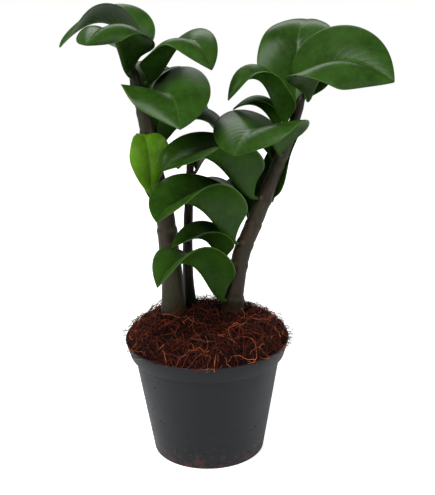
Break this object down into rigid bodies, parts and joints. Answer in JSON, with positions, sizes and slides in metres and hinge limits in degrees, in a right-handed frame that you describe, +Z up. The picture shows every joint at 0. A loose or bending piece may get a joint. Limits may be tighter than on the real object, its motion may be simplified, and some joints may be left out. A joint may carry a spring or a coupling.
{
  "type": "potted plant",
  "caption": "ZZ plant with thick arching glossy leaves on upright fleshy stems, growing from a mound of coir potting mix in a round tapered plastic nursery pot.",
  "frame": {"origin": "centre of the pot's underside, on the surface the pot stands on", "axes": "+Z up along the pot's axis; the front, which most leaf tips point towards, is -Y; +X is to the right seen from the front"},
  "size_m": [0.2268, 0.1422, 0.3265],
  "materials": {
    "plastic": "satin injection-moulded polypropylene",
    "coir": "loose damp coconut-fibre potting mix",
    "tuber": "dry papery skin",
    "stem": "smooth fleshy stalk, satin",
    "leaf": "waxy gloss"
  },
  "bodies": {
    "root": {"nursery_pot": "plastic", "potting_mix": "coir", "rhizome_left": "tuber", "stem_left": "stem", "rhizome_right": "tuber", "stem_right": "stem", "rhizome_back": "tuber", "stem_back": "stem", "leaf_right_1": "leaf", "leaf_right_2": "leaf", "leaf_right_3": "leaf", "leaf_right_4": "leaf", "leaf_right_5": "leaf", "leaf_right_6": "leaf", "leaf_right_11": "leaf", "leaf_right_12": "leaf", "leaf_right_7": "leaf", "leaf_right_8": "leaf", "leaf_right_9": "leaf", "leaf_right_10": "leaf", "leaf_left_1": "leaf", "leaf_left_2": "leaf", "leaf_left_3": "leaf", "leaf_left_4": "leaf", "leaf_left_5": "leaf", "leaf_left_6": "leaf", "leaf_left_7": "leaf", "leaf_left_8": "leaf", "leaf_left_9": "leaf", "leaf_back_1": "leaf"}
  },
  "joints": []
}
